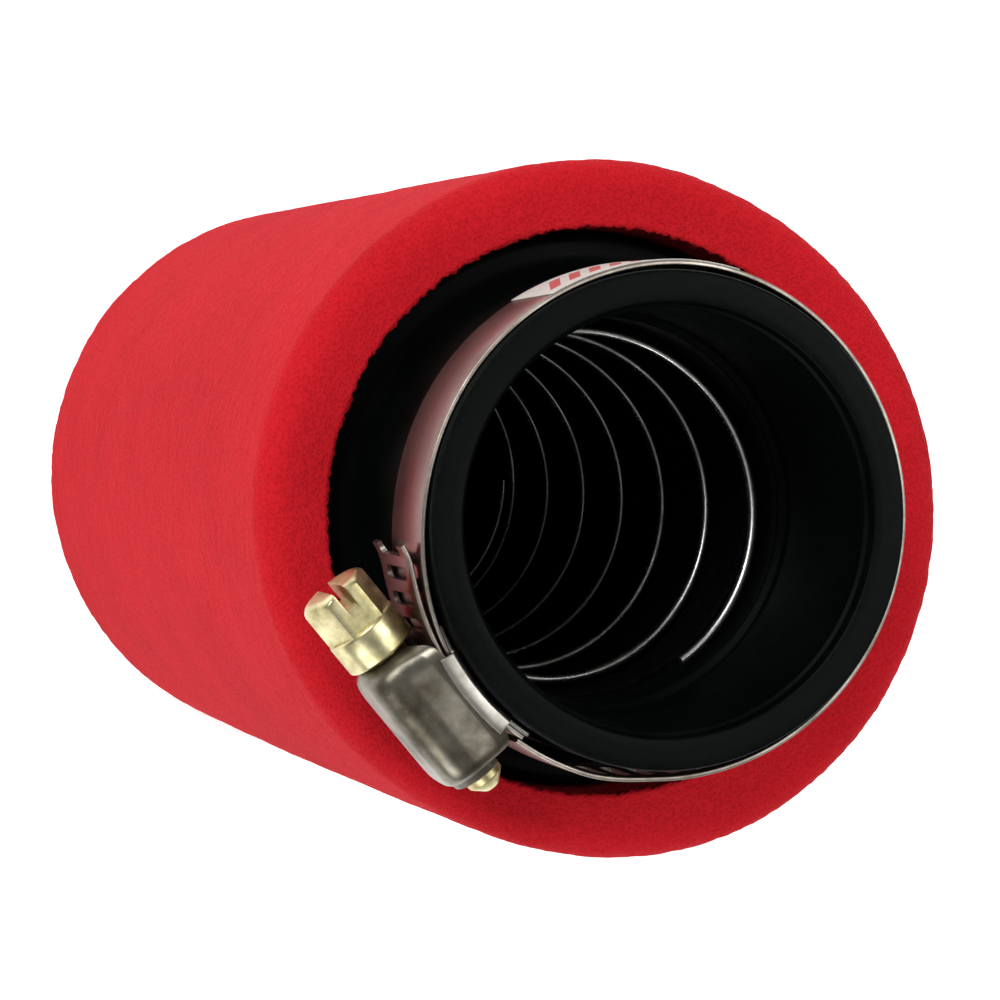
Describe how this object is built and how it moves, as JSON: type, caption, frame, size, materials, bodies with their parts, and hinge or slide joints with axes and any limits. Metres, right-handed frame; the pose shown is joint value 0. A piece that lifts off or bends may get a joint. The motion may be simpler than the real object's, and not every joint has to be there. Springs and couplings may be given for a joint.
{
  "type": "clamp-on foam air filter",
  "caption": "Straight two-stage foam pod air filter with a rubber neck, a wire support spring inside and a worm-drive hose clamp on the neck.",
  "frame": {"origin": "centre of the flat closed end of the foam body", "axes": "+Z along the filter's axis, out of the rubber neck's mouth; the worm housing sits at 220.5 degrees from +X, counter-clockwise seen from the mouth"},
  "size_m": [0.089, 0.0888, 0.1778],
  "materials": {
    "red_foam": "open-cell reticulated foam, red",
    "black_foam": "coarse open-cell foam, black",
    "spring_wire": "drawn steel wire, bright",
    "neck_rubber": "moulded black rubber, satin",
    "stainless_band": "rolled stainless strip",
    "stamped_steel": "stamped steel, dull",
    "yellow_zinc": "zinc plated, yellow passivated",
    "printed_label": "printed paper-backed label, white"
  },
  "bodies": {
    "root": {"outer_foam": "red_foam", "outer_foam_cap": "red_foam", "inner_foam": "black_foam", "inner_foam_cap": "black_foam", "support_spring": "spring_wire", "rubber_neck": "neck_rubber"},
    "clamp": {"clamp_band": "stainless_band", "clamp_housing": "stamped_steel", "clamp_saddle": "stamped_steel", "clamp_label": "printed_label"},
    "tail": {"band_tail": "stainless_band"},
    "screw": {"clamp_screw": "yellow_zinc"}
  },
  "joints": [
    {"name": "clamp_swivel", "type": "hinge", "parent": "root", "child": "clamp", "pos_m": [0, 0, 0.16845], "axis": [0, 0, 1], "continuous": true},
    {"name": "screw_turn", "type": "hinge", "parent": "clamp", "child": "screw", "pos_m": [-0.02707, -0.02312, 0.16845], "axis": [0.6494, -0.7604, 0], "range_deg": [-272, 722]},
    {"name": "tail_travel", "type": "hinge", "parent": "clamp", "child": "tail", "pos_m": [0, 0, 0.16845], "axis": [0, 0, -1], "range_deg": [-4.3, 11.5]}
  ],
  "couplings": [
    {"joint": "screw_turn", "follows": "tail_travel", "ratio": 62.539}
  ]
}
